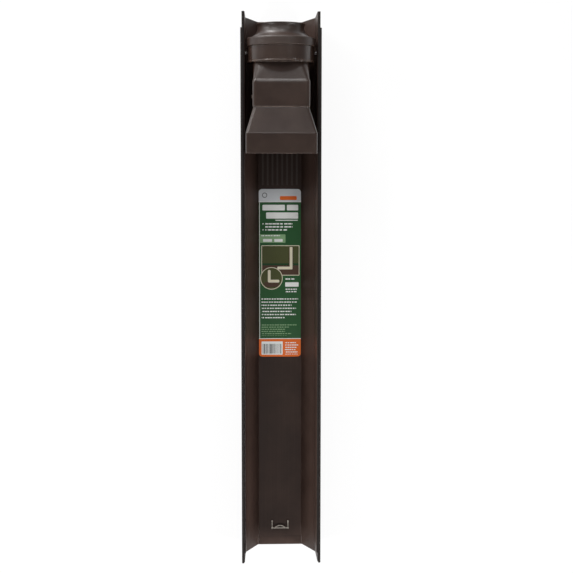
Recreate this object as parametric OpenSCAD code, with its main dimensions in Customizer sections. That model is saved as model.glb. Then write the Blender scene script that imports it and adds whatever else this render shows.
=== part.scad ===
// Hinged telescoping downspout extension, folded up for storage.
// It lies on its floor with the channel open upward and the hinge end at +Y.

/* [Channels] */
// Length of the inner channel, which carries the hinge
inner_length = 920; // [500:1:1200]
// Length of the outer channel
outer_length = 910; // [500:1:1200]
// How far the outer channel stops short of the inner one at the hinge end
hinge_setback = 27; // [5:1:50]
// Wall thickness of both channels
channel_wall = 1.8; // [1.2:0.1:2.4]
// Clearance between the two nested channels
nest_gap = 0.4; // [0.3:0.05:0.8]
// Inside width of the inner channel's flat floor
floor_width = 77; // [50:0.5:84]
// Inside width at the knee, where the slanted wall turns upright
knee_width = 119.4; // [112:0.2:121]
// Inside width at the rim
rim_width = 121.6; // [120:0.2:126]
// Height of the knee above the inner floor
knee_height = 38.5; // [30:0.5:44]
// Depth of the inner channel from rim to floor
channel_depth = 91; // [86:0.5:110]
// Inside radius where the floor meets the slanted wall
floor_radius = 1.5; // [1:0.1:6]
// Inside radius at the knee
knee_radius = 8; // [2:0.5:20]

/* [Rims] */
// Width of the inner channel's outward flange, from the inside face of its wall
flange_width = 4.8; // [4:0.1:8]
// Clearance around the flange inside the hem
hem_gap = 0.4; // [0.3:0.05:0.8]
// How far the hem's lip reaches over the flange
lip_overlap = 1.7; // [1:0.1:2.4]
// Inside radius of the hem's two folds
hem_radius = 0.3; // [0.1:0.1:0.4]

/* [Floor details] */
// Number of fine flutes on the floor below the adapter
flute_count = 8; // [0:1:12]
// Width of one flute
flute_width = 3.4; // [1:0.1:5]
// Height of one flute
flute_height = 0.5; // [0.2:0.1:1]
// Length of the flutes from the hinge end
flute_length = 284; // [100:1:400]
// Plain floor left on each side of the flutes
flute_margin = 4; // [2:0.5:10]
// Width of the latch window
latch_width = 26.6; // [20:0.2:40]
// Length of the latch window
latch_length = 11.5; // [9:0.5:20]
// Distance from the inner channel's far end to the window
latch_end_distance = 15.5; // [8:0.5:40]
// Diameter of the round-backed ridge about the window
latch_ridge = 2.4; // [1.4:0.1:3]
// Diameter of the knobs at the ends of the ridge's two bars
latch_knob = 3.4; // [2:0.1:4.5]
// Chord of the arch in the window's near edge
latch_arch_width = 20; // [14:0.5:20]
// Rise of that arch
latch_arch_rise = 4.5; // [2:0.5:5]
// Width of the slot between the latch's tongue and the arch
latch_slot = 2.6; // [1.5:0.1:5]
// Width of the slits on both sides of the tongue
latch_slit = 1; // [0.6:0.1:2]
// Distance from the outer channel's hinge end to the slot that the latch drops into
slot_distance = 41.75; // [20:0.25:120]

/* [Hinge] */
// Distance of the hinge axis from the hinge end of the inner channel
hinge_inset = 66; // [60:1:120]
// Depth of the hinge axis below the inner channel's rim
hinge_drop = 18; // [12:0.5:24]
// Diameter of the hinge pins
pin_diameter = 6.4; // [4:0.2:10]
// Radial clearance of the pins in their holes
pin_clearance = 0.3; // [0.1:0.05:0.6]
// How far the pins' ends stop short of the wall's outer face
pin_recess = 0.3; // [0:0.1:0.8]
// Lean of the folded adapter, mouth into the channel
fold_lean = 4.3; // [3.5:0.1:4.6]

/* [Swivel collar] */
// Outside diameter of the collar
collar_diameter = 113; // [104:0.2:114]
// Length of the collar along its axis
collar_length = 23.6; // [16:0.2:30]
// Distance from the collar's outlet end to the hinge axis
collar_above_hinge = 10.2; // [8:0.2:15]
// Wall thickness of the collar
collar_wall = 2.6; // [1.5:0.1:4]
// Running clearance of the swivel, round the neck and at both ends
swivel_gap = 0.3; // [0.2:0.05:0.6]

/* [Downspout adapter] */
// Wall thickness of the adapter
adapter_wall = 2.2; // [1.5:0.1:3]
// Outside diameter of the round neck that turns in the collar
neck_diameter = 93; // [84:0.5:96]
// How far the neck reaches past the collar into the nozzle
neck_reach = 10; // [6:0.5:12]
// Diameter of the flange that carries the collar
seat_diameter = 113.6; // [106:0.2:115]
// Thickness of that flange
seat_thickness = 2.3; // [1.5:0.1:4]
// Width of the narrow sleeve
sleeve_width = 95.4; // [86:0.2:100]
// Depth of the narrow sleeve, front to back
sleeve_depth = 67; // [62:0.5:70]
// Length of the narrow sleeve
sleeve_length = 39.9; // [25:0.1:60]
// Distance from the swivel axis to the sleeve's front face
sleeve_front = 52; // [44:0.5:54]
// Width of the wide mouth
mouth_width = 117.8; // [112:0.2:118]
// Depth of the wide mouth, front to back
mouth_depth = 87.6; // [84:0.2:88]
// Length of the wide mouth
mouth_length = 33.1; // [25:0.1:60]
// Distance from the swivel axis to the mouth's front face
mouth_front = 66; // [65.5:0.5:72]
// Length of the round-to-square transition
transition_length = 35.7; // [24:0.1:50]
// Length of the taper from sleeve to mouth
taper_length = 41.3; // [25:0.1:60]
// Corner radius of the sleeve
sleeve_corner = 7; // [3:0.5:12]
// Corner radius of the mouth
mouth_corner = 4.5; // [3:0.5:12]
// Distance from the swivel axis to the front of the transition where it leaves the collar
transition_front = 39; // [34:0.5:42]
// Distance from the swivel axis to the back of the transition where it leaves the collar
transition_back = 40; // [34:0.5:42]
// Corner radius of the transition where it leaves the collar
transition_corner = 22; // [18:1:36]
// Length of the rounded edge between the transition and the sleeve
crown_length = 6; // [2:0.5:10]
// How far that edge rounds off from the sleeve's faces
crown_drop = 1.3; // [0.5:0.1:2]
// Depth of the groove between the sleeve and the taper
groove_depth = 0.9; // [0.5:0.1:1.2]
// Length of that groove
groove_length = 2; // [1:0.5:4]
// Distance of the round screw pads from the sleeve's outlet end
screw_pad_distance = 21; // [8:0.5:34]
// Diameter of the screw pads on the sleeve's sides
screw_pad_diameter = 7; // [5:0.5:12]
// Height of the screw pads
screw_pad_height = 1.4; // [0.5:0.1:3]
// Diameter of the pilot holes in the screw pads
pilot_diameter = 3.2; // [2:0.1:4.5]

/* [Outlet nozzle] */
// Outside diameter of the nozzle's skirt
skirt_diameter = 116.8; // [110:0.2:118]
// Length of the skirt
skirt_length = 13.9; // [12:0.1:18]
// Outside diameter of the spout
spout_diameter = 78.4; // [70:0.2:82]
// Length of the flare between skirt and spout
flare_length = 16.6; // [12:0.2:20]
// Length of the spout's flared lip
lip_length = 6.2; // [4:0.2:8]
// Wall thickness of the nozzle
nozzle_wall = 2.4; // [1.5:0.1:3]
// Slope in degrees at which the flare leaves the skirt
flare_slope = 12; // [8:1:30]
// How far the lip flares out past the spout
lip_flare = 2.3; // [1:0.1:2.6]
// Radius of the skirt's outer edge
skirt_edge = 3; // [0.5:0.1:3.5]

/* [Printed card] */
// Width of the card
card_width = 75; // [30:1:75]
// Length of the card
card_length = 300; // [100:1:320]
// Thickness of the card
card_thickness = 0.5; // [0.3:0.1:1]
// Corner radius of the card
card_corner = 6; // [1:0.5:15]
// Gap between the flutes' ends and the card
card_gap = 7; // [3:1:60]

/* [Finish] */
// Colour of the moulded plastic
plastic_colour = "#3a2c28"; // [#3a2c28:Brown, #2b2b2b:Black, #e8e6e0:White]
// Colour of the card
card_colour = "#2f6a3a"; // [#2f6a3a:Green, #e8e6e0:White]
// Segments of a rounded corner
corner_steps = 6; // [3:1:12]
// Steps of the rounded edge between the transition and the sleeve
crown_steps = 4; // [2:1:8]
// Segments of a full circle
round_steps = 96; // [32:4:160]
// Segments of a small circle, such as a pin
small_steps = 40; // [16:4:64]

/* [Hidden] */

// How far a form that cuts reaches past the face it cuts
overshoot = 1;

// Ends of the two channels, with the whole folded object centred on Y = 0
far_overhang = hinge_setback + outer_length - inner_length;
hinge_end = (inner_length + max(far_overhang, 0)) / 2;
inner_far_end = hinge_end - inner_length;
outer_end = hinge_end - hinge_setback;

// Heights
inner_floor = 2 * channel_wall + nest_gap;
knee_z = inner_floor + knee_height;
rim_z = inner_floor + channel_depth;
nest_offset = channel_wall + nest_gap;

// Inside radius where a wall turns out into its flange
flange_radius = channel_wall + hem_gap;

// Hinge and swivel frame
hinge_y = hinge_end - hinge_inset;
hinge_z = rim_z - hinge_drop;
hinge_wall_x = knee_width / 2 + (rim_width - knee_width) / 2 * (hinge_z - knee_z) / (rim_z - knee_z);
pin_end = hinge_wall_x + channel_wall - pin_recess;

// Stations along the adapter, measured from the hinge axis toward the outlet
collar_top = collar_above_hinge;
collar_bottom = collar_top - collar_length;
seat_top = collar_bottom - swivel_gap;
seat_bottom = seat_top - seat_thickness;
sleeve_top = seat_bottom - transition_length;
sleeve_bottom = sleeve_top - sleeve_length;
mouth_top = sleeve_bottom - taper_length;
mouth_bottom = mouth_top - mouth_length;
skirt_bottom = collar_top + swivel_gap;
skirt_top = skirt_bottom + skirt_length;
spout_start = skirt_top + flare_length;
spout_end = spout_start + lip_length;
neck_top = skirt_bottom + neck_reach;
neck_radius = neck_diameter / 2;
neck_bore = neck_radius - adapter_wall;
neck_length = neck_top - seat_bottom;
collar_bore = neck_radius + swivel_gap;

// Latch window and the slot that it finds when the channel is drawn out
latch_y = inner_far_end + latch_end_distance + latch_length / 2;
slot_y = outer_end - slot_distance;
latch_arch_radius = (pow(latch_arch_width / 2, 2) + pow(latch_arch_rise, 2)) / (2 * latch_arch_rise);
latch_arch_y = latch_y - latch_length / 2 + latch_arch_rise - latch_arch_radius;

function unit(v) = v / norm(v);
function right_of(v) = [v[1], -v[0]];
function mirrored(path) = [for (i = [len(path) - 1:-1:0]) [-path[i][0], path[i][1]]];
function reversed(path) = [for (i = [len(path) - 1:-1:0]) path[i]];

// A path moved sideways by d, with mitred corners; positive d is to the right of travel
function offset_path(path, d) = [
    for (i = [0:len(path) - 1])
        let (
            last = len(path) - 1,
            before = i == 0 ? unit(path[1] - path[0]) : unit(path[i] - path[i - 1]),
            after = i == last ? before : unit(path[i + 1] - path[i]),
            m = right_of(before) + right_of(after)
        )
        path[i] + m * 2 * d / (m * m)
];

// Points of a fillet of radius r at corner b, between a and c
function fillet(a, b, c, r) =
    let (
        u = unit(a - b),
        v = unit(c - b),
        half = acos(u * v) / 2,
        start = b + u * r / tan(half),
        centre = b + unit(u + v) * r / sin(half),
        from = atan2(start[1] - centre[1], start[0] - centre[0]),
        side = u[0] * v[1] - u[1] * v[0] > 0 ? -1 : 1,
        sweep = side * (180 - 2 * half)
    )
    [for (k = [0:corner_steps]) centre + r * [cos(from + sweep * k / corner_steps),
        sin(from + sweep * k / corner_steps)]];

// An open path whose inner corners are filleted by the radii given for them
function rounded_path(path, radii) = [
    for (i = [0:len(path) - 1])
        for (p = radii[i] == 0 ? [path[i]] : fillet(path[i - 1], path[i], path[i + 1], radii[i])) p
];

// A closed rounded rectangle across the adapter, from z_back to z_front
function section(width, z_back, z_front, r) =
    let (
        corners = [[1, 1], [-1, 1], [-1, -1], [1, -1]],
        mid = (z_back + z_front) / 2,
        half = [width / 2 - r, (z_front - z_back) / 2 - r]
    )
    [for (q = [0:3]) for (k = [0:corner_steps])
        [corners[q][0] * half[0] + r * cos(90 * q + 90 * k / corner_steps),
         mid + corners[q][1] * half[1] + r * sin(90 * q + 90 * k / corner_steps)]];

// Inside face of the inner channel's right half: floor, slanted wall, upright wall, flange
channel_face = [
    [0, inner_floor],
    [floor_width / 2, inner_floor],
    [knee_width / 2, knee_z],
    [rim_width / 2, rim_z],
    [rim_width / 2 + flange_width, rim_z]
];
channel_radii = [0, floor_radius, knee_radius, flange_radius, 0];

// Inside face of the outer channel's right half, which turns up and in again as a hem
nested_face = offset_path(channel_face, nest_offset);
hem_x = rim_width / 2 + flange_width + hem_gap;
hem_z = rim_z + hem_gap;
outer_face = concat(
    [for (i = [0:3]) nested_face[i]],
    [
        [hem_x, nested_face[4][1]],
        [hem_x, hem_z],
        [hem_x - hem_gap - lip_overlap, hem_z]
    ]
);
outer_radii = [0, floor_radius + nest_offset, knee_radius + nest_offset, flange_radius, hem_radius,
    hem_radius, 0];

// Closed outline of a channel of one wall thickness, from the inside face of its right half
function channel_outline(face, radii) =
    let (
        inside = rounded_path(face, radii),
        outside = offset_path(inside, channel_wall)
    )
    concat(mirrored(inside), inside, reversed(outside), reversed(mirrored(outside)));

// Extrude an outline that lies across the object along Y, from y_high down
module run(y_high, length)
    translate([0, y_high, 0]) rotate([90, 0, 0]) linear_extrude(length) children();

// Turn the Z axis of a revolved form onto the adapter's own axis
module revolved() rotate([-90, 0, 0]) rotate_extrude($fn = round_steps) children();

// Place what is drawn along the adapter's own axis at the hinge, leaning into the channel
module on_hinge() translate([0, hinge_y, hinge_z]) rotate([fold_lean, 0, 0]) children();

// Closed form through a row of [y, section] stations that all have the same number of points
module loft(stations) {
    n = len(stations[0][1]);
    last = (len(stations) - 1) * n;
    sides = [for (i = [0:len(stations) - 2]) for (k = [0:n - 1])
        let (a = i * n + k, b = i * n + (k + 1) % n) each [[b, a, b + n], [b + n, a, a + n]]];
    caps = [[for (k = [0:n - 1]) k], [for (k = [n - 1:-1:0]) last + k]];
    polyhedron([for (s = stations) for (p = s[1]) [p[0], s[0], p[1]]], concat(sides, caps));
}

module outer_trough()
    color(plastic_colour)
    difference() {
        run(outer_end, outer_length) polygon(channel_outline(outer_face, outer_radii));
        translate([-latch_width / 2, slot_y - latch_length / 2, -overshoot])
            cube([latch_width, latch_length, inner_floor]);
    }

module floor_flutes() {
    pitch = (floor_width - 2 * flute_margin) / flute_count;
    for (i = [0:1:flute_count - 1])
        translate([(i - (flute_count - 1) / 2) * pitch - flute_width / 2, hinge_end - flute_length,
            inner_floor - channel_wall / 2])
            cube([flute_width, flute_length, channel_wall / 2 + flute_height]);
}

// Disc whose edge is the arch in the window's near edge
module latch_arch(radius, height)
    translate([0, latch_arch_y, 0]) cylinder(r = radius, h = height, $fn = round_steps);

// Rectangle of the window
module latch_box(height)
    translate([-latch_width / 2, latch_y - latch_length / 2, 0])
        cube([latch_width, latch_length, height]);

// Round-backed rod sunk halfway into the channel's floor, with its start at a point
module floor_rod(diameter, length, start, turn)
    translate([start[0], start[1], inner_floor + (diameter - channel_wall) / 2]) rotate(turn)
        cylinder(d = diameter, h = length, $fn = small_steps);

// Ridge about the window: two bars with knobs at their ends, and a near edge with an arch over it
module latch_frame() {
    bar_x = (latch_width + latch_ridge) / 2;
    near_y = latch_y - (latch_length + latch_ridge) / 2;
    bar_length = latch_length + latch_ridge / 2;
    for (side = [-1, 1]) {
        floor_rod(latch_ridge, bar_length, [side * bar_x, near_y], [-90, 0, 0]);
        for (y = [near_y, near_y + bar_length])
            translate([side * bar_x, y, inner_floor + (latch_knob - channel_wall) / 2])
                sphere(d = latch_knob, $fn = small_steps);
    }
    floor_rod(latch_ridge, 2 * bar_x, [-bar_x, near_y], [0, 90, 0]);
    intersection() {
        translate([0, latch_arch_y, inner_floor + (latch_ridge - channel_wall) / 2])
            rotate_extrude($fn = round_steps) translate([latch_arch_radius - latch_ridge / 2, 0])
                circle(d = latch_ridge, $fn = small_steps);
        translate([-latch_width / 2, near_y, 0]) cube([latch_width, latch_length, rim_z]);
    }
}

// Openings in the floor: a window that frees the latch's tongue, and a notch under the arch
module latch_opening() {
    difference() {
        latch_box(rim_z);
        latch_arch(latch_arch_radius, rim_z);
        translate([-latch_width / 2 + latch_slit, latch_y - latch_length / 2 + latch_arch_rise + latch_slot,
            0])
            cube([latch_width - 2 * latch_slit, latch_length, inner_floor]);
    }
    intersection() {
        latch_box(inner_floor + overshoot);
        latch_arch(latch_arch_radius - latch_ridge, inner_floor + overshoot);
    }
}

module inner_trough()
    color(plastic_colour)
    difference() {
        union() {
            run(hinge_end, inner_length) polygon(channel_outline(channel_face, channel_radii));
            floor_flutes();
            latch_frame();
        }
        latch_opening();
        translate([0, hinge_y, hinge_z]) rotate([0, 90, 0])
            cylinder(d = pin_diameter + 2 * pin_clearance, h = 2 * hem_x, center = true, $fn = small_steps);
    }

// Ring of channel section round the neck, with a pin on each side
module hinge_collar()
    color(plastic_colour)
    on_hinge() {
        shell = collar_diameter / 2 - collar_wall;
        pin_start = collar_diameter / 2 - collar_wall / 2;
        revolved() polygon([
            [collar_bore, collar_bottom],
            [collar_diameter / 2, collar_bottom],
            [collar_diameter / 2, collar_top],
            [collar_bore, collar_top],
            [collar_bore, collar_top - collar_wall],
            [shell, collar_top - collar_wall],
            [shell, collar_bottom + collar_wall],
            [collar_bore, collar_bottom + collar_wall]
        ]);
        for (side = [-1, 1])
            rotate([0, side * 90, 0]) translate([0, 0, pin_start])
                cylinder(d = pin_diameter, h = pin_end - pin_start, $fn = small_steps);
    }

// Sections of the adapter, shrunk by a margin on every side
function sleeve_section(margin) = section(sleeve_width - 2 * margin, sleeve_front - sleeve_depth + margin,
    sleeve_front - margin, sleeve_corner - margin);
function mouth_section(margin) = section(mouth_width - 2 * margin, mouth_front - mouth_depth + margin,
    mouth_front - margin, mouth_corner - margin);
function neck_section(margin) = section(neck_diameter - 2 * margin, -transition_back + margin,
    transition_front - margin, transition_corner - margin);

// Stations of the rounded edge, from the transition to the sleeve's full section
function crown_stations(margin) = [
    for (k = [0:crown_steps])
        let (turn = 90 * k / crown_steps)
        [sleeve_top + crown_length * cos(turn), sleeve_section(margin + crown_drop * (1 - sin(turn)))]
];

// Transition, sleeve, taper and mouth, shrunk by a margin on every side
module adapter_form(margin, top, groove, past_end)
    loft(concat(
        [[top, neck_section(margin)], [seat_bottom, neck_section(margin)]],
        crown_stations(margin),
        groove > 0 ? [
            [sleeve_bottom + groove_length, sleeve_section(margin)],
            [sleeve_bottom + groove_length, sleeve_section(margin + groove)]
        ] : [],
        [
            [sleeve_bottom, sleeve_section(margin + groove)],
            [mouth_top, mouth_section(margin)],
            [mouth_bottom - past_end, mouth_section(margin)]
        ]
    ));

// Place on a screw pad, pointing out of the sleeve's side
module on_screw_pad(side)
    translate([side * (sleeve_width / 2 - adapter_wall), sleeve_top - screw_pad_distance,
        sleeve_front - sleeve_depth / 2])
        rotate([0, side * 90, 0]) children();

module downspout_adapter()
    color(plastic_colour)
    on_hinge() {
        bore_bottom = seat_bottom + seat_thickness / 2;
        difference() {
            union() {
                adapter_form(0, bore_bottom, groove_depth, 0);
                revolved() polygon([
                    [0, seat_bottom],
                    [seat_diameter / 2, seat_bottom],
                    [seat_diameter / 2, seat_top],
                    [neck_radius, seat_top],
                    [neck_radius, neck_top],
                    [0, neck_top]
                ]);
                for (side = [-1, 1])
                    on_screw_pad(side)
                        cylinder(d = screw_pad_diameter, h = adapter_wall + screw_pad_height,
                            $fn = small_steps);
            }
            adapter_form(adapter_wall, bore_bottom + seat_thickness / 8, 0, overshoot);
            revolved() translate([0, bore_bottom]) square([neck_bore, neck_length]);
            for (side = [-1, 1])
                on_screw_pad(side) translate([0, 0, -overshoot])
                    cylinder(d = pilot_diameter, h = adapter_wall + screw_pad_height + 2 * overshoot,
                        $fn = small_steps);
        }
    }

// Lip at the spout's end: from straight at its foot, it bends outward like a trumpet's bell
function lip_path(steps) = [
    for (k = [0:steps]) let (t = k / steps)
        [spout_diameter / 2 + lip_flare * t * t, spout_start + lip_length * t]
];

// Outside of the nozzle's flare: a quadratic curve from the skirt's shoulder to the spout
function flare_path(steps) =
    let (
        from = [skirt_diameter / 2 - skirt_edge, skirt_top],
        to = [spout_diameter / 2, spout_start],
        bend = [to[0], from[1] + (from[0] - to[0]) * tan(flare_slope)]
    )
    [for (k = [0:steps]) let (t = k / steps)
        from * (1 - t) * (1 - t) + bend * 2 * t * (1 - t) + to * t * t];

// Turned section: a hollow skirt over the collar, a socket on the neck's end, and the flared spout
module outlet_nozzle()
    color(plastic_colour)
    on_hinge() {
        outside = flare_path(2 * corner_steps);
        inside = reversed(offset_path(outside, -nozzle_wall));
        lip = lip_path(corner_steps);
        socket_bore = collar_bore;
        socket_face = socket_bore + nozzle_wall;
        skirt_face = skirt_diameter / 2 - nozzle_wall;
        stop_y = neck_top + swivel_gap;
        passage = [for (p = inside) if (p[0] < neck_bore && p[1] > stop_y + nozzle_wall) p];
        hollow = [for (p = inside) if (p[0] > socket_face && p[0] < skirt_face && p[1] > skirt_bottom) p];
        revolved() polygon(concat(
            [[skirt_diameter / 2, skirt_bottom], [skirt_diameter / 2, skirt_top - skirt_edge]],
            [for (k = [1:corner_steps]) [skirt_diameter / 2 - skirt_edge * (1 - cos(90 * k / corner_steps)),
                skirt_top - skirt_edge * (1 - sin(90 * k / corner_steps))]],
            [for (k = [1:len(outside) - 1]) outside[k]],
            [for (k = [1:corner_steps]) lip[k]],
            [for (k = [corner_steps:-1:1]) lip[k] - [nozzle_wall, 0]],
            passage,
            [
                [neck_bore, passage[len(passage) - 1][1]],
                [neck_bore, stop_y],
                [socket_bore, stop_y],
                [socket_bore, skirt_bottom],
                [socket_face, skirt_bottom]
            ],
            [[socket_face, hollow[0][1]]],
            hollow,
            [[skirt_face, hollow[len(hollow) - 1][1]], [skirt_face, skirt_bottom]]
        ));
    }

module printed_card()
    color(card_colour)
    translate([0, hinge_end - flute_length - card_gap - card_length / 2, inner_floor])
    linear_extrude(card_thickness)
        polygon(section(card_width, -card_length / 2, card_length / 2, card_corner));

outer_trough();
inner_trough();
hinge_collar();
downspout_adapter();
outlet_nozzle();
printed_card();
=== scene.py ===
"""Looks for a folded downspout extension.

Two nested drain channels lie on a pale floor, open side up. A downspout adapter, hinged in a
swivel collar, is tucked into one end, and a printed card lies on the floor of the channel.

All sizes are in metres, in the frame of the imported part: +Y runs along the channels toward the
hinge end, +Z points up out of the open channel and +X points across.
"""

import logging
import math
from dataclasses import dataclass, field, replace
from enum import Enum

import bpy
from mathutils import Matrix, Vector


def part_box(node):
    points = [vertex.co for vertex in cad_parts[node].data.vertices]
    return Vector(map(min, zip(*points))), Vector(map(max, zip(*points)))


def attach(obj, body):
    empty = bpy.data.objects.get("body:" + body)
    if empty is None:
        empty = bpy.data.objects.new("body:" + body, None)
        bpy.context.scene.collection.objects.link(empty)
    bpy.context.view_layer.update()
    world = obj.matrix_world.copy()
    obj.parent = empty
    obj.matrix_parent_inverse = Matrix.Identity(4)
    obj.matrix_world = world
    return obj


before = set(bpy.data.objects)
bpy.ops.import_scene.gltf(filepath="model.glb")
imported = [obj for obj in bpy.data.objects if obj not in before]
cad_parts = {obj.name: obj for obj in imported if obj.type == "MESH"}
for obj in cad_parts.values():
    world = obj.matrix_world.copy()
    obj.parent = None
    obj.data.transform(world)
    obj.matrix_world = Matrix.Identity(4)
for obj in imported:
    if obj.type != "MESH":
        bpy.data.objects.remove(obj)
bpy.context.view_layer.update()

LOG = logging.getLogger("downspout_extension")
PHOTO_PIXELS = 573
MILLIMETRE = 0.001

Colour = tuple[float, float, float]
Point = tuple[float, float, float]
Socket = bpy.types.NodeSocket
Tree = bpy.types.NodeTree


class Node(Enum):
    """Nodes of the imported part."""

    OUTER_TROUGH = "outer_trough"
    INNER_TROUGH = "inner_trough"
    COLLAR = "hinge_collar"
    ADAPTER = "downspout_adapter"
    NOZZLE = "outlet_nozzle"
    CARD = "printed_card"


class Body(Enum):
    """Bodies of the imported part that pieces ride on."""

    INNER_CHANNEL = "inner_channel"


class Slot(Enum):
    """Material slots of the record."""

    BROWN_PLASTIC = "brown_plastic"
    PRINTED_CARD = "printed_card"


def shown_as(red: int, green: int, blue: int) -> Colour:
    """Turn a colour as seen on screen into the linear values that Blender mixes.

    Args:
        red: Red as seen, 0 to 255.
        green: Green as seen, 0 to 255.
        blue: Blue as seen, 0 to 255.

    Returns:
        The linear colour.
    """

    def linear(level: int) -> float:
        """One channel, from screen level to linear value."""
        share = level / 255
        return share / 12.92 if share <= 0.04045 else ((share + 0.055) / 1.055) ** 2.4

    return linear(red), linear(green), linear(blue)


class Sketch:
    """A node tree that is being wired up."""

    def __init__(self, tree: Tree) -> None:
        """Start from an empty tree."""
        self.tree = tree
        self.tree.nodes.clear()

    def add(self, kind: str, **settings: object) -> bpy.types.Node:
        """Add a node.

        Args:
            kind: Blender's name of the node's type, without the ShaderNode in front.
            **settings: Properties to set on the node.

        Returns:
            The new node.
        """
        name = kind if kind.startswith("Node") else "ShaderNode" + kind
        node = self.tree.nodes.new(name)
        for key, value in settings.items():
            setattr(node, key, value)
        return node

    def feed(self, socket: Socket, value: object) -> None:
        """Give a socket its value, or the output that it reads.

        Args:
            socket: An input socket.
            value: A number, a colour, a vector or another node's output.
        """
        if isinstance(value, Socket):
            self.tree.links.new(value, socket)
        elif isinstance(value, tuple) and socket.type == "RGBA":
            socket.default_value = (*value, 1.0)
        else:
            socket.default_value = value

    def math(self, operation: str, *values: object, clamp: bool = False) -> Socket:
        """Do one sum.

        Args:
            operation: The sum's name in Blender.
            *values: Numbers or outputs.
            clamp: True to keep the result from 0 to 1.

        Returns:
            The result's socket.
        """
        node = self.add("Math", operation=operation, use_clamp=clamp)
        for socket, value in zip(node.inputs, values):
            self.feed(socket, value)
        return node.outputs[0]

    def plus(self, first: object, *others: object) -> Socket:
        """Add values up.

        Args:
            first: A number or an output.
            *others: What is added to it.

        Returns:
            The sum's socket.
        """
        for value in others:
            first = self.math("ADD", first, value)
        return first

    def times(self, first: object, *others: object) -> Socket:
        """Multiply values.

        Args:
            first: A number or an output.
            *others: What it is multiplied with.

        Returns:
            The product's socket.
        """
        for value in others:
            first = self.math("MULTIPLY", first, value)
        return first

    def minus(self, first: object, second: object) -> Socket:
        """Take one value from another.

        Args:
            first: A number or an output.
            second: What is taken from it.

        Returns:
            The difference's socket.
        """
        return self.math("SUBTRACT", first, second)

    def mix(self, factor: object, first: object, second: object) -> Socket:
        """Mix two colours.

        Args:
            factor: Share of the second colour.
            first: A colour or an output.
            second: A colour or an output.

        Returns:
            The mixed colour's socket.
        """
        node = self.add("Mix", data_type="RGBA")
        self.feed(node.inputs[0], factor)
        self.feed(node.inputs[6], first)
        self.feed(node.inputs[7], second)
        return node.outputs[2]

    def noise(self, vector: object, scale: object, detail: float = 2.0, rough: float = 0.5) -> Socket:
        """Add a noise.

        Args:
            vector: Where the noise is read.
            scale: Lumps in a metre.
            detail: How many finer layers it has.
            rough: Weight of the finer layers.

        Returns:
            The noise's value.
        """
        node = self.add("TexNoise")
        self.feed(node.inputs["Vector"], vector)
        self.feed(node.inputs["Scale"], scale)
        self.feed(node.inputs["Detail"], detail)
        self.feed(node.inputs["Roughness"], rough)
        return node.outputs["Fac"]

    def ranged(
        self, value: object, low: object, high: object, out_low: object = 0.0, out_high: object = 1.0
    ) -> Socket:
        """Stretch a value from one range to another, smoothly and without passing its ends.

        Args:
            value: The value.
            low: Value that becomes out_low.
            high: Value that becomes out_high.
            out_low: First end of the result.
            out_high: Second end of the result.

        Returns:
            The result's socket.
        """
        node = self.add("MapRange", interpolation_type="SMOOTHSTEP")
        ends = {"Value": value, "From Min": low, "From Max": high, "To Min": out_low, "To Max": out_high}
        for name, number in ends.items():
            self.feed(node.inputs[name], number)
        return node.outputs["Result"]


def shader_group(
    name: str, inputs: dict[str, object], outputs: dict[str, str]
) -> tuple[Sketch, bpy.types.Node, bpy.types.Node]:
    """Start a node group with named sockets.

    Args:
        name: The group's name.
        inputs: Each input's name and its default: a number, a colour or None for a vector.
        outputs: Each output's name and its kind: Float, Color or Vector.

    Returns:
        The group's sketch, its input node and its output node.
    """
    tree = bpy.data.node_groups.new(name, "ShaderNodeTree")
    for label, default in inputs.items():
        kind = "Vector" if default is None else "Color" if isinstance(default, tuple) else "Float"
        socket = tree.interface.new_socket(label, in_out="INPUT", socket_type="NodeSocket" + kind)
        if kind == "Color":
            socket.default_value = (*default, 1.0)
        elif kind == "Float":
            socket.default_value = default
    for label, kind in outputs.items():
        tree.interface.new_socket(label, in_out="OUTPUT", socket_type="NodeSocket" + kind)
    sketch = Sketch(tree)
    return sketch, sketch.add("NodeGroupInput"), sketch.add("NodeGroupOutput")


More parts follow.
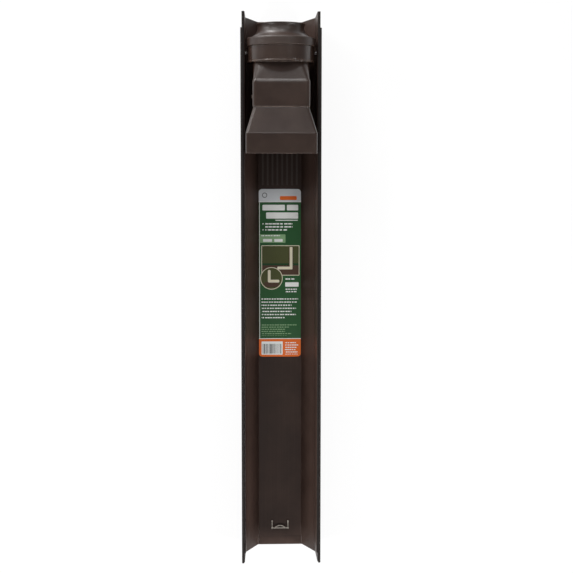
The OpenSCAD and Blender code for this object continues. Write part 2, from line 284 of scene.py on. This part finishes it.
def plastic_skin_group() -> Tree:
    """Build the skin of moulded or extruded plastic.

    Returns:
        A group that puts out the skin's colour, roughness and height.
    """
    sketch, given, result = shader_group(
        "Plastic skin",
        {"Vector": None, "Color": (0.04, 0.03, 0.02), "Faded Color": (0.08, 0.06, 0.05), "Cloud Scale": 9.0,
         "Grain Scale": 1400.0, "Grain Depth": 0.00003, "Streak Depth": 0.0, "Streak Tint": 0.0,
         "Roughness": 0.42, "Roughness Spread": 0.08, "Scuff": 0.3, "Fading": 0.22},
        {"Color": "Color", "Roughness": "Float", "Height": "Float"},
    )
    streak_scale, streak_stretch, smudge_scale = 420.0, 0.012, 31.0
    smudge_fading, smudge_dulling = 0.5, 0.3
    place = given.outputs["Vector"]
    cloud = sketch.ranged(sketch.noise(place, given.outputs["Cloud Scale"], 4.0, 0.6), 0.35, 0.68)
    stretched = sketch.add("Mapping")
    sketch.feed(stretched.inputs["Vector"], place)
    stretched.inputs["Scale"].default_value = (1.0, streak_stretch, 1.0)
    streaks = sketch.noise(stretched.outputs["Vector"], streak_scale, 3.0, 0.65)
    grain = sketch.noise(place, given.outputs["Grain Scale"], 3.0, 0.6)
    smudge = sketch.ranged(sketch.noise(place, smudge_scale, 6.0, 0.7), 0.5, 0.8)
    smudge = sketch.times(smudge, given.outputs["Scuff"])

    fading = sketch.plus(
        sketch.times(cloud, given.outputs["Fading"]),
        sketch.times(sketch.ranged(streaks, 0.4, 0.75), given.outputs["Streak Tint"]),
        sketch.times(smudge, smudge_fading),
    )
    colour = sketch.mix(fading, given.outputs["Color"], given.outputs["Faded Color"])
    sketch.feed(result.inputs["Color"], colour)
    uneven = sketch.times(sketch.plus(cloud, streaks, -1.0), given.outputs["Roughness Spread"])
    dulling = sketch.times(smudge, smudge_dulling)
    sketch.feed(result.inputs["Roughness"], sketch.plus(given.outputs["Roughness"], uneven, dulling))
    grain_height = sketch.times(grain, given.outputs["Grain Depth"])
    streak_height = sketch.times(streaks, given.outputs["Streak Depth"])
    sketch.feed(result.inputs["Height"], sketch.plus(grain_height, streak_height))
    return sketch.tree


def edge_rub_and_highlight_group() -> Tree:
    """Build the lighter edges: the rub that handling leaves, and painted highlights where light catches the
    edges.

    Returns:
        A group that puts out a mask of the edges that are rubbed and carry painted highlights, from the flat
        and the rounded normal.
    """
    sketch, given, result = shader_group(
        "Edge rub and highlight",
        {"Vector": None, "Flat Normal": None, "Round Normal": None, "Amount": 0.6, "Patch Scale": 60.0},
        {"Mask": "Float"},
    )
    barely_turned, well_turned, least_rub = 0.995, 0.85, 0.25
    dot = sketch.add("VectorMath", operation="DOT_PRODUCT")
    sketch.feed(dot.inputs[0], given.outputs["Flat Normal"])
    sketch.feed(dot.inputs[1], given.outputs["Round Normal"])
    edge = sketch.ranged(dot.outputs["Value"], barely_turned, well_turned)
    patch = sketch.noise(given.outputs["Vector"], given.outputs["Patch Scale"], 5.0, 0.7)
    patch = sketch.ranged(patch, 0.38, 0.62, least_rub, 1.0)
    sketch.feed(result.inputs["Mask"], sketch.times(edge, patch, given.outputs["Amount"]))
    return sketch.tree


def zone_group() -> Tree:
    """Build a mask of one zone of a part that is the same on its left and its right, where painted shade and
    painted highlights go.

    Returns:
        A group that puts out the mask of a box, given its low and its high corner.
    """
    sketch, given, result = shader_group(
        "Zone", {"Vector": None, "Low": None, "High": None, "Soft": 0.0004}, {"Mask": "Float"}
    )
    soft = given.outputs["Soft"]
    place, low, high = (sketch.add("SeparateXYZ") for _ in range(3))
    for node, label in ((place, "Vector"), (low, "Low"), (high, "High")):
        sketch.feed(node.inputs[0], given.outputs[label])
    mask: object = 1.0
    for axis in "XYZ":
        value = place.outputs[axis]
        if axis == "X":
            value = sketch.math("ABSOLUTE", value)
        past = sketch.math("DIVIDE", sketch.minus(value, low.outputs[axis]), soft, clamp=True)
        short = sketch.math("DIVIDE", sketch.minus(high.outputs[axis], value), soft, clamp=True)
        mask = sketch.times(mask, past, short)
    sketch.feed(result.inputs["Mask"], mask)
    return sketch.tree


def print_field_group() -> Tree:
    """Build one field of ink: a rectangle with round corners on the card.

    Returns:
        A group that puts out the field's mask.
    """
    sketch, given, result = shader_group(
        "Print field",
        {"X": 0.0, "Y": 0.0, "Centre X": 0.0, "Centre Y": 0.0, "Half Width": 0.01, "Half Length": 0.01,
         "Corner": 0.001},
        {"Mask": "Float"},
    )
    edge_softness = 0.00008

    def beyond(axis: str, half: str) -> Socket:
        """How far a point lies past the straight part of the field, along one axis."""
        off = sketch.math("ABSOLUTE", sketch.minus(given.outputs[axis], given.outputs["Centre " + axis]))
        return sketch.minus(off, sketch.minus(given.outputs[half], given.outputs["Corner"]))

    across, along = beyond("X", "Half Width"), beyond("Y", "Half Length")
    outside = [sketch.math("MAXIMUM", way, 0.0) for way in (across, along)]
    reach = sketch.math("SQRT", sketch.plus(*(sketch.times(way, way) for way in outside)))
    within = sketch.math("MINIMUM", sketch.math("MAXIMUM", across, along), 0.0)
    distance = sketch.minus(sketch.plus(reach, within), given.outputs["Corner"])
    sketch.feed(result.inputs["Mask"], sketch.ranged(distance, edge_softness, -edge_softness))
    return sketch.tree


def text_rows_group() -> Tree:
    """Build a block of small print that can't be read: rows of short bars with ragged ends.

    Returns:
        A group that puts out the block's mask.
    """
    sketch, given, result = shader_group(
        "Text rows",
        {"X": 0.0, "Y": 0.0, "Left": -0.03, "Right": 0.03, "Top": 0.02, "Bottom": 0.0, "Pitch": 0.003,
         "Thickness": 0.5, "Word": 0.004, "Seed": 1.0},
        {"Mask": "Float"},
    )
    longest_blank, row_shift = 0.35, 0.05
    shortest_word, longest_word = 0.62, 0.9
    across, along, seed = given.outputs["X"], given.outputs["Y"], given.outputs["Seed"]
    left, top, bottom = given.outputs["Left"], given.outputs["Top"], given.outputs["Bottom"]

    def chance(dimensions: str, **places: Socket) -> Socket:
        """A number from 0 to 1 that is always the same for the same place."""
        cell = sketch.add("CombineXYZ")
        for axis, value in places.items():
            sketch.feed(cell.inputs[axis], value)
        noise = sketch.add("TexWhiteNoise", noise_dimensions=dimensions)
        sketch.feed(noise.inputs["Vector"], cell.outputs["Vector"])
        return noise.outputs["Value"]

    down = sketch.math("DIVIDE", sketch.minus(top, along), given.outputs["Pitch"])
    row = sketch.math("FLOOR", down)
    in_row = sketch.math("LESS_THAN", sketch.math("FRACT", down), given.outputs["Thickness"])
    ragged = chance("2D", X=row, Y=seed)
    blank = sketch.times(ragged, longest_blank, sketch.minus(given.outputs["Right"], left))
    right = sketch.minus(given.outputs["Right"], blank)
    shifted = sketch.plus(across, sketch.times(ragged, row_shift))
    words = sketch.math("DIVIDE", shifted, given.outputs["Word"])
    gap = chance("3D", X=sketch.math("FLOOR", words), Y=row, Z=seed)
    width = sketch.ranged(gap, 0.0, 1.0, shortest_word, longest_word)
    in_word = sketch.math("LESS_THAN", sketch.math("FRACT", words), width)
    inside = sketch.times(sketch.math("GREATER_THAN", across, left), sketch.math("LESS_THAN", across, right))
    block = sketch.times(sketch.math("LESS_THAN", along, top), sketch.math("GREATER_THAN", along, bottom))
    sketch.feed(result.inputs["Mask"], sketch.times(in_row, in_word, inside, block))
    return sketch.tree


@dataclass(frozen=True)
class Zone:
    """Part of a piece with a tint and a shine of its own, the same on the left and the right; the tints here
    are painted shade and painted highlights.
    """

    low: Point
    high: Point
    tint: Colour
    roughness: float
    share: float


@dataclass(frozen=True)
class PlasticFinish:
    """How one kind of brown plastic looks."""

    name: str
    colour: Colour
    # Lighter colour: cloudy fading, rubbed edges and painted edge highlights
    faded_and_highlight: Colour
    roughness: float
    roughness_spread: float = 0.08
    specular: float = 0.5
    coat: float = 0.0
    coat_roughness: float = 0.3
    cloud_scale: float = 9.0
    grain_scale: float = 1400.0
    grain_depth: float = 0.00003
    streak_depth: float = 0.0
    streak_tint: float = 0.0
    scuff: float = 0.3
    fading: float = 0.22
    # Share of the lighter colour on edges: rub, and painted highlight along the edges
    rub: float = 0.5
    edge_radius: float = 0.0006
    edge_samples: int = 6
    zones: tuple[Zone, ...] = ()

    def material(self, skin: Tree, rub: Tree, zone: Tree) -> bpy.types.Material:
        """Build the material.

        Args:
            skin: The plastic skin group.
            rub: The group of rubbed edges and painted edge highlights.
            zone: The zone group.

        Returns:
            The material.
        """
        material = bpy.data.materials.new(self.name)
        material.use_nodes = True
        sketch = Sketch(material.node_tree)
        place = sketch.add("TexCoord").outputs["Object"]
        surface = self.surface(sketch, place, skin)
        rounded = sketch.add("Bevel", samples=self.edge_samples)
        rounded.inputs["Radius"].default_value = self.edge_radius
        rubbed_and_highlit = self.rubbed_and_highlit(sketch, place, rounded.outputs["Normal"], rub)
        # Rubbed edges and painted edge highlights take the lighter colour
        colour = sketch.mix(rubbed_and_highlit, surface.outputs["Color"], self.faded_and_highlight)
        colour, shine = self.zoned(sketch, place, zone, colour, surface.outputs["Roughness"])
        bump = sketch.add("Bump")
        bump.inputs["Strength"].default_value = 1.0
        bump.inputs["Distance"].default_value = 1.0
        sketch.feed(bump.inputs["Height"], surface.outputs["Height"])
        sketch.feed(bump.inputs["Normal"], rounded.outputs["Normal"])
        shader = sketch.add("BsdfPrincipled")
        sketch.feed(shader.inputs["Base Color"], colour)
        sketch.feed(shader.inputs["Roughness"], shine)
        sketch.feed(shader.inputs["Normal"], bump.outputs["Normal"])
        shader.inputs["Specular IOR Level"].default_value = self.specular
        shader.inputs["Coat Weight"].default_value = self.coat
        shader.inputs["Coat Roughness"].default_value = self.coat_roughness
        output = sketch.add("OutputMaterial")
        sketch.feed(output.inputs["Surface"], shader.outputs["BSDF"])
        return material

    def surface(self, sketch: Sketch, place: Socket, skin: Tree) -> bpy.types.Node:
        """Set up the plastic's skin.

        Args:
            sketch: The material's sketch.
            place: Place on the object.
            skin: The plastic skin group.

        Returns:
            The group's node.
        """
        node = sketch.add("Group", node_tree=skin)
        settings = {
            "Vector": place, "Color": self.colour, "Faded Color": self.faded_and_highlight, "Cloud Scale": self.cloud_scale,
            "Grain Scale": self.grain_scale, "Grain Depth": self.grain_depth,
            "Streak Depth": self.streak_depth, "Streak Tint": self.streak_tint,
            "Roughness": self.roughness, "Roughness Spread": self.roughness_spread,
            "Scuff": self.scuff, "Fading": self.fading,
        }
        for label, value in settings.items():
            sketch.feed(node.inputs[label], value)
        return node

    def rubbed_and_highlit(self, sketch: Sketch, place: Socket, rounded: Socket, rub: Tree) -> Socket:
        """Mark the edges that are rubbed and carry painted highlights.

        Args:
            sketch: The material's sketch.
            place: Place on the object.
            rounded: The normal with its edges rounded.
            rub: The group of rubbed edges and painted edge highlights.

        Returns:
            The mask of the rubbed edges and the painted edge highlights.
        """
        node = sketch.add("Group", node_tree=rub)
        sketch.feed(node.inputs["Vector"], place)
        sketch.feed(node.inputs["Flat Normal"], sketch.add("NewGeometry").outputs["Normal"])
        sketch.feed(node.inputs["Round Normal"], rounded)
        sketch.feed(node.inputs["Amount"], self.rub)
        return node.outputs["Mask"]

    def zoned(
        self, sketch: Sketch, place: Socket, zone: Tree, colour: Socket, shine: Socket
    ) -> tuple[Socket, Socket]:
        """Give each zone its tint, which paints shade on the rims and highlights on the latch and the flutes,
        and its shine.

        Args:
            sketch: The material's sketch.
            place: Place on the object.
            zone: The zone group.
            colour: The colour outside the zones.
            shine: The roughness outside the zones.

        Returns:
            The colour and the roughness, with the zones in them.
        """
        for item in self.zones:
            area = sketch.add("Group", node_tree=zone)
            sketch.feed(area.inputs["Vector"], place)
            area.inputs["Low"].default_value = item.low
            area.inputs["High"].default_value = item.high
            share = sketch.times(area.outputs["Mask"], item.share)
            colour = sketch.mix(share, colour, item.tint)
            shine = sketch.plus(shine, sketch.times(share, sketch.minus(item.roughness, shine)))
        return colour, shine


# Painted light on the channels: painted shade darkens the rims, a painted highlight lightens the latch's
# frame and a painted sheen lightens the flute tops
RIM_SHADE = Zone((0.0612, -1.0, 0.086), (0.080, 1.0, 0.110), shown_as(21, 18, 17), 0.6, 0.9)
# Painted highlight: the pale tint stands for light caught on the raised bars of the latch's frame
LATCH_HIGHLIGHT = Zone((-1.0, -0.4480, 0.0049), (0.022, -0.4140, 0.010), shown_as(188, 180, 170), 0.4, 0.85)
# Painted sheen: the light grey tint stands for light glancing off the tops of the flutes
FLUTE_SHEEN = Zone((-1.0, -0.2, 0.0042), (0.035, 1.0, 0.0049), shown_as(92, 84, 80), 0.36, 0.7)
EXTRUDED = PlasticFinish(
    name="extruded_brown",
    colour=shown_as(52, 39, 34),
    faded_and_highlight=shown_as(88, 70, 62),
    roughness=0.42,
    specular=0.2,
    streak_depth=0.00003,
    streak_tint=0.10,
    scuff=0.2,
    zones=(RIM_SHADE, LATCH_HIGHLIGHT, FLUTE_SHEEN),
)
MOULDED = PlasticFinish(
    name="moulded_brown",
    colour=shown_as(38, 26, 21),
    # Light enough to paint highlight lines along the moulded edges, besides the cloudy fading
    faded_and_highlight=shown_as(112, 92, 80),
    roughness=0.25,
    roughness_spread=0.03,
    coat=0.12,
    grain_scale=1100.0,
    grain_depth=0.000008,
    scuff=0.0,
    fading=0.08,
    # Strong edge share: mostly painted highlight, light lines along the moulded edges
    rub=0.9,
    edge_radius=0.002,
)
TURNED_MOULDED = replace(MOULDED, name="satin_moulded_brown", roughness=0.4, coat=0.0)


class Print(Enum):
    """Inks of the card, as seen on screen."""

    GREEN = shown_as(42, 92, 50)
    DEEP_GREEN = shown_as(28, 68, 36)
    PALE_GREEN = shown_as(140, 178, 132)
    SILVER = shown_as(222, 225, 228)
    WHITE = shown_as(252, 253, 250)
    ORANGE = shown_as(240, 112, 36)
    CREAM = shown_as(240, 232, 206)
    OLIVE = shown_as(80, 84, 46)
    SOIL = shown_as(84, 62, 48)
    GREY = shown_as(92, 94, 94)


@dataclass(frozen=True)
class Ink:
    """One field of ink, in millimetres from the card's middle; x runs across and y toward the hinge."""

    ink: Print
    x: float
    y: float
    width: float
    length: float
    corner: float = 0.3


@dataclass(frozen=True)
class SmallPrint:
    """One block of small print that can't be read, in millimetres from the card's middle."""

    ink: Print
    left: float
    right: float
    top: float
    bottom: float
    pitch: float = 4.0
    thickness: float = 0.45
    word: float = 5.0
    seed: float = 1.0


@dataclass
class PrintedCard:
    """Green card with a silver head, a picture box, small print and an orange foot."""

    middle_y: float
    slot: Slot = Slot.PRINTED_CARD
    fields: tuple[Ink | SmallPrint, ...] = field(default_factory=lambda: (
        Ink(Print.SILVER, 0.0, 139.0, 75.0, 23.0, 0.1),
        Ink(Print.WHITE, 0.0, 127.3, 75.0, 1.2, 0.1),
        Ink(Print.ORANGE, 15.0, 134.0, 30.0, 7.0, 2.0),
        Ink(Print.GREY, -27.0, 139.0, 9.0, 9.0, 4.4),
        Ink(Print.SILVER, -27.0, 139.0, 6.6, 6.6, 3.2),
        Ink(Print.WHITE, -36.2, 5.0, 0.9, 244.0, 0.3),
        Ink(Print.WHITE, -11.0, 117.0, 40.0, 10.0, 1.4),
        Ink(Print.WHITE, 22.5, 117.0, 20.0, 10.0, 1.4),
        Ink(Print.WHITE, 4.0, 103.0, 57.0, 11.0, 1.4),
        Ink(Print.WHITE, 12.0, 94.6, 40.0, 1.6, 0.5),
        SmallPrint(Print.WHITE, -26.0, 34.0, 89.5, 73.5, 5.4, 0.45, 7.0, 2.0),
        Ink(Print.WHITE, -30.0, 88.3, 2.2, 2.2, 1.0),
        Ink(Print.WHITE, -30.0, 77.5, 2.2, 2.2, 1.0),
        Ink(Print.PALE_GREEN, -13.0, 62.0, 46.0, 15.0, 1.5),
        SmallPrint(Print.WHITE, -33.0, 6.0, 68.2, 64.0, 4.6, 0.42, 5.0, 3.0),
        Ink(Print.WHITE, -22.0, 58.8, 16.0, 5.0, 0.8),
        Ink(Print.WHITE, -2.5, 58.8, 15.0, 5.0, 0.8),
        Ink(Print.CREAM, 1.0, 23.0, 68.0, 54.0, 1.6),
        Ink(Print.OLIVE, 1.0, 23.0, 65.6, 51.6, 1.0),
        Ink(Print.SOIL, 1.0, 6.0, 65.6, 17.6, 0.6),
        Ink(Print.DEEP_GREEN, 1.0, 16.0, 65.6, 3.5, 0.3),
        Ink(Print.SOIL, 20.0, 27.0, 8.0, 40.0, 1.2),
        Ink(Print.CREAM, 20.0, 27.0, 5.0, 40.0, 1.2),
        Ink(Print.CREAM, 9.0, 9.5, 27.0, 5.0, 1.2),
        Ink(Print.CREAM, -15.0, -9.0, 40.0, 40.0, 20.0),
        Ink(Print.OLIVE, -15.0, -9.0, 37.6, 37.6, 18.8),
        Ink(Print.SOIL, -15.0, -20.0, 26.0, 9.0, 4.0),
        Ink(Print.CREAM, -19.0, -5.0, 5.0, 22.0, 2.0),
        Ink(Print.CREAM, -11.0, -14.0, 20.0, 5.0, 2.0),
        SmallPrint(Print.WHITE, 10.0, 34.0, -9.0, -13.5, 4.6, 0.5, 5.5, 4.0),
        Ink(Print.WHITE, 21.5, -20.0, 24.0, 8.0, 1.2),
        SmallPrint(Print.WHITE, 10.0, 34.0, -27.5, -36.0, 4.4, 0.45, 4.5, 8.0),
        SmallPrint(Print.WHITE, -33.0, 33.0, -45.0, -84.0, 5.6, 0.36, 4.6, 5.0),
        SmallPrint(Print.PALE_GREEN, -33.0, 30.0, -92.0, -112.0, 3.9, 0.40, 4.6, 6.0),
        Ink(Print.WHITE, 0.0, -117.4, 75.0, 1.2, 0.1),
        Ink(Print.ORANGE, 0.0, -134.0, 75.0, 32.0, 0.1),
        Ink(Print.WHITE, -14.0, -134.5, 38.0, 24.0, 1.2),
        SmallPrint(Print.WHITE, 9.0, 34.0, -124.0, -146.0, 4.2, 0.42, 4.0, 7.0),
    ))
    stripe_left: float = -31.0
    stripe_right: float = 3.0
    stripe_bottom: float = -144.5
    stripe_top: float = -127.0
    stripe_pitch: float = 2.2
    haze_scale: float = 14.0
    haze_share: float = 0.12
    wave_scale: float = 18.0
    wave_height: float = 0.0016
    shine_scale: float = 45.0
    glossiest: float = 0.28
    dullest: float = 0.36
    specular: float = 0.35

    def dress(self) -> None:
        """Give the card its print."""
        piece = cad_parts[Node.CARD.value]
        piece.data.materials.clear()
        piece.data.materials.append(self.material())
        LOG.info("%s is printed with %d fields", Node.CARD.value, len(self.fields))

    def material(self) -> bpy.types.Material:
        """Build the printed card's material.

        Returns:
            The material.
        """
        patch, rows = print_field_group(), text_rows_group()
        material = bpy.data.materials.new("printed_card")
        material.use_nodes = True
        sketch = Sketch(material.node_tree)
        place = sketch.add("TexCoord").outputs["Object"]
        split = sketch.add("SeparateXYZ")
        sketch.feed(split.inputs[0], place)
        across = split.outputs["X"]
        along = sketch.minus(split.outputs["Y"], self.middle_y)
        haze = sketch.ranged(sketch.noise(place, self.haze_scale, 3.0), 0.35, 0.65, 0.0, self.haze_share)
        colour = sketch.mix(haze, Print.GREEN.value, Print.DEEP_GREEN.value)
        for item in self.fields:
            colour = sketch.mix(self.mask(sketch, item, patch, rows, across, along), colour, item.ink.value)
        colour = sketch.mix(self.stripes(sketch, patch, across, along), colour, Print.GREY.value)
        facing = sketch.add("SeparateXYZ")
        sketch.feed(facing.inputs[0], sketch.add("NewGeometry").outputs["Normal"])
        printed = sketch.math("GREATER_THAN", facing.outputs["Z"], 0.5)
        colour = sketch.mix(printed, Print.WHITE.value, colour)
        bump = sketch.add("Bump")
        bump.inputs["Distance"].default_value = 1.0
        bump.inputs["Strength"].default_value = 1.0
        waves = sketch.noise(place, self.wave_scale)
        sketch.feed(bump.inputs["Height"], sketch.times(waves, self.wave_height))
        shader = sketch.add("BsdfPrincipled")
        shader.inputs["Specular IOR Level"].default_value = self.specular
        sketch.feed(shader.inputs["Base Color"], colour)
        patches = sketch.noise(place, self.shine_scale, 4.0, 0.6)
        shine = sketch.ranged(patches, 0.3, 0.7, self.glossiest, self.dullest)
        sketch.feed(shader.inputs["Roughness"], shine)
        sketch.feed(shader.inputs["Normal"], bump.outputs["Normal"])
        sketch.feed(sketch.add("OutputMaterial").inputs["Surface"], shader.outputs["BSDF"])
        return material

    @staticmethod
    def mask(
        sketch: Sketch, item: Ink | SmallPrint, patch: Tree, rows: Tree, across: Socket, along: Socket
    ) -> Socket:
        """Place one field or one block of small print.

        Args:
            sketch: The material's sketch.
            item: What is printed.
            patch: The print field group.
            rows: The text rows group.
            across: Place across the card, in metres.
            along: Place along the card, in metres.

        Returns:
            The mask of its ink.
        """
        if isinstance(item, Ink):
            node = sketch.add("Group", node_tree=patch)
            sizes = {"Centre X": item.x, "Centre Y": item.y, "Half Width": item.width / 2,
                     "Half Length": item.length / 2, "Corner": item.corner}
        else:
            node = sketch.add("Group", node_tree=rows)
            sizes = {"Left": item.left, "Right": item.right, "Top": item.top, "Bottom": item.bottom,
                     "Pitch": item.pitch, "Word": item.word}
            node.inputs["Thickness"].default_value = item.thickness
            node.inputs["Seed"].default_value = item.seed
        sketch.feed(node.inputs["X"], across)
        sketch.feed(node.inputs["Y"], along)
        for label, size in sizes.items():
            node.inputs[label].default_value = size * MILLIMETRE
        return node.outputs["Mask"]

    def stripes(self, sketch: Sketch, patch: Tree, across: Socket, along: Socket) -> Socket:
        """Make the uneven grey stripes in the foot's white box.

        Args:
            sketch: The material's sketch.
            patch: The print field group.
            across: Place across the card, in metres.
            along: Place along the card, in metres.

        Returns:
            The stripes' mask.
        """
        middle_x = (self.stripe_left + self.stripe_right) / 2
        middle_y = (self.stripe_bottom + self.stripe_top) / 2
        width, length = self.stripe_right - self.stripe_left, self.stripe_top - self.stripe_bottom
        box = Ink(Print.GREY, middle_x, middle_y, width, length, 0.1)
        inside = self.mask(sketch, box, patch, patch, across, along)
        steps = sketch.math("DIVIDE", across, self.stripe_pitch * MILLIMETRE)
        uneven = sketch.add("TexWhiteNoise", noise_dimensions="1D")
        sketch.feed(uneven.inputs["W"], sketch.math("FLOOR", steps))
        share = sketch.ranged(uneven.outputs["Value"], 0.0, 1.0, 0.25, 0.75)
        return sketch.times(inside, sketch.math("LESS_THAN", sketch.math("FRACT", steps), share))


@dataclass(frozen=True)
class LatchBar:
    """Right bar of the latch's frame: a rod with a knob at each end, half sunk into the floor."""

    across: float = 0.0145
    near: float = -0.4372
    length: float = 0.0127
    floor_top: float = 0.004
    wall: float = 0.0018
    ridge: float = 0.0024
    knob: float = 0.0034
    facets: int = 24
    smooth_angle_deg: float = 35.0

    def build(self, finish: bpy.types.Material) -> None:
        """Make the bar and let it ride on the inner channel.

        Args:
            finish: The channel's material.
        """
        bpy.ops.object.select_all(action="DESELECT")
        bpy.ops.mesh.primitive_cylinder_add(vertices=self.facets, radius=self.ridge / 2, depth=self.length)
        bar = bpy.context.active_object
        bar.name = "latch_bar_right"
        bpy.ops.object.mode_set(mode="EDIT")
        bpy.ops.mesh.select_all(action="SELECT")
        bpy.ops.transform.rotate(value=math.pi / 2, orient_axis="X", center_override=(0, 0, 0))
        bpy.ops.transform.translate(value=(self.across, self.near + self.length / 2, self.sunk(self.ridge)))
        for end in (self.near, self.near + self.length):
            bpy.ops.mesh.select_all(action="DESELECT")
            bpy.ops.mesh.primitive_uv_sphere_add(
                segments=self.facets, ring_count=self.facets // 2, radius=self.knob / 2,
                location=(self.across, end, self.sunk(self.knob)),
            )
            bpy.ops.mesh.intersect_boolean(operation="UNION", solver="EXACT")
        bpy.ops.object.mode_set(mode="OBJECT")
        bpy.ops.object.shade_smooth_by_angle(angle=math.radians(self.smooth_angle_deg))
        bar.data.materials.append(finish)
        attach(bar, Body.INNER_CHANNEL.value)
        LOG.info("%s rides on %s", bar.name, Body.INNER_CHANNEL.value)

    def sunk(self, diameter: float) -> float:
        """Height of the middle of a round form that is sunk into the floor.

        Args:
            diameter: The form's diameter.

        Returns:
            The height, in metres.
        """
        return self.floor_top + (diameter - self.wall) / 2


@dataclass(frozen=True)
class Lamp:
    """Soft rectangular lamp, hung round a point above the channel and facing it."""

    name: str
    toward_hinge_deg: float
    toward_right_deg: float
    width: float
    length: float
    watts: float
    distance: float = 1.9
    aim: Point = (0.0, 0.3, 0.08)
    spread_deg: float = 180.0

    def hang(self) -> None:
        """Add the lamp to the scene."""
        tilt, turn = math.radians(self.toward_hinge_deg), math.radians(self.toward_right_deg)
        way = Vector((math.sin(turn), math.sin(tilt) * math.cos(turn), math.cos(tilt) * math.cos(turn)))
        data = bpy.data.lights.new(self.name, "AREA")
        data.shape, data.size, data.size_y, data.energy = "RECTANGLE", self.width, self.length, self.watts
        data.spread = math.radians(self.spread_deg)
        lamp = bpy.data.objects.new(self.name, data)
        lamp.location = Vector(self.aim) + self.distance * way
        lamp.rotation_euler = (-way).to_track_quat("-Z", "Y").to_euler()
        bpy.context.scene.collection.objects.link(lamp)


@dataclass
class Studio:
    """Pale floor, soft lamps and the camera."""

    camera_place: Point = (-0.04074, 0.13056, 1.70497)
    camera_turn_deg: Point = (-4.2595, -1.7708, 0.0021)
    focal_pixels: float = 953.5
    far_clip: float = 50.0
    sensor_width: float = 36.0
    floor_size: float = 12.0
    floor_drop: float = 0.0005
    floor_grey: float = 0.9
    floor_glow: float = 0.87
    overhead: float = 0.2
    horizon: float = 0.24
    lamps: tuple[Lamp, ...] = (
        Lamp("top_lamp", 22, 0, 0.4, 0.35, 3.0),
        Lamp("end_lamp", 60, 0, 0.6, 0.5, 12.0),
        Lamp("left_lamp", 38, -30, 0.5, 0.6, 10.0),
        Lamp("left_end_lamp", 60, -58, 0.7, 0.5, 11.0),
        Lamp("right_lamp", 25, 26, 0.5, 0.5, 4.5),
        Lamp("hinge_end_lamp", 84, -26, 0.6, 0.3, 30.0, 1.9, (0.0, 0.4, 0.1)),
        Lamp("neck_lamp", -32, -6, 0.8, 0.6, 2.0, 1.9, (0.0, 0.42, 0.12)),
        Lamp("foot_left_lamp", -25, -50, 0.4, 0.4, 3.0, 1.9, (0.0, -0.3, 0.0), 70),
        Lamp("foot_right_lamp", -25, 50, 0.4, 0.4, 3.8, 1.9, (0.0, -0.3, 0.0), 70),
        Lamp("foot_lamp", -58, 0, 1.2, 0.6, 9.0, 2.4, (0.0, 0.2, 0.08)),
    )

    def build(self) -> None:
        """Set the floor, the world, the lamps and the camera."""
        self.lay_floor()
        self.light_world()
        for lamp in self.lamps:
            lamp.hang()
        self.set_camera()

    def lay_floor(self) -> None:
        """Make the pale floor."""
        bpy.ops.object.select_all(action="DESELECT")
        bpy.ops.mesh.primitive_plane_add(size=self.floor_size, location=(0, 0, -self.floor_drop))
        floor = bpy.context.active_object
        floor.name = "floor"
        material = bpy.data.materials.new("pale_floor")
        material.use_nodes = True
        sketch = Sketch(material.node_tree)
        shader = sketch.add("BsdfDiffuse")
        shader.inputs["Color"].default_value = (self.floor_grey,) * 3 + (1.0,)
        glow = sketch.add("Emission")
        glow.inputs["Color"].default_value = (1, 1, 1, 1)
        path = sketch.add("LightPath")
        seen = path.outputs["Is Camera Ray"]
        for ray in ("Is Glossy Ray", "Is Transmission Ray"):
            seen = sketch.math("MAXIMUM", seen, path.outputs[ray])
        mixed = sketch.add("MixShader")
        sketch.feed(mixed.inputs[0], sketch.times(seen, self.floor_glow))
        sketch.feed(mixed.inputs[1], shader.outputs[0])
        sketch.feed(mixed.inputs[2], glow.outputs[0])
        sketch.feed(sketch.add("OutputMaterial").inputs["Surface"], mixed.outputs[0])
        floor.data.materials.append(material)

    def light_world(self) -> None:
        """Light the scene evenly from all round."""
        world = bpy.data.worlds.new("studio")
        bpy.context.scene.world = world
        world.use_nodes = True
        sketch = Sketch(world.node_tree)
        sky = sketch.add("Background")
        sky.inputs["Color"].default_value = (1, 1, 1, 1)
        split = sketch.add("SeparateXYZ")
        sketch.feed(split.inputs[0], sketch.add("TexCoord").outputs["Generated"])
        strength = sketch.ranged(split.outputs["Z"], 0.0, 1.0, self.horizon, self.overhead)
        sketch.feed(sky.inputs["Strength"], strength)
        sketch.feed(sketch.add("OutputWorld").inputs["Surface"], sky.outputs[0])

    def set_camera(self) -> None:
        """Place the camera where the photograph was taken from."""
        data = bpy.data.cameras.new("camera")
        data.sensor_width = self.sensor_width
        data.lens = self.focal_pixels / PHOTO_PIXELS * self.sensor_width
        data.clip_end = self.far_clip
        camera = bpy.data.objects.new("camera", data)
        camera.location = self.camera_place
        camera.rotation_euler = tuple(math.radians(turn) for turn in self.camera_turn_deg)
        bpy.context.scene.collection.objects.link(camera)
        bpy.context.scene.camera = camera


def main() -> None:
    """Build the looks and report each piece."""
    logging.basicConfig(level=logging.INFO, format="%(name)s: %(message)s")
    bpy.context.scene.view_settings.view_transform = "Standard"
    groups = plastic_skin_group(), edge_rub_and_highlight_group(), zone_group()
    kinds = EXTRUDED, MOULDED, TURNED_MOULDED
    extruded, moulded, satin = (kind.material(*groups) for kind in kinds)
    finishes = {
        Node.OUTER_TROUGH: extruded, Node.INNER_TROUGH: extruded, Node.COLLAR: moulded,
        Node.ADAPTER: moulded, Node.NOZZLE: satin,
    }
    for node, material in finishes.items():
        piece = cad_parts[node.value]
        piece.data.materials.clear()
        piece.data.materials.append(material)
        LOG.info("%s wears %s", node.value, material.name)
    card_low, card_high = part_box(Node.CARD.value)
    PrintedCard(middle_y=(card_low.y + card_high.y) / 2).dress()
    LatchBar().build(extruded)
    Studio().build()


if __name__ == "__main__":
    main()
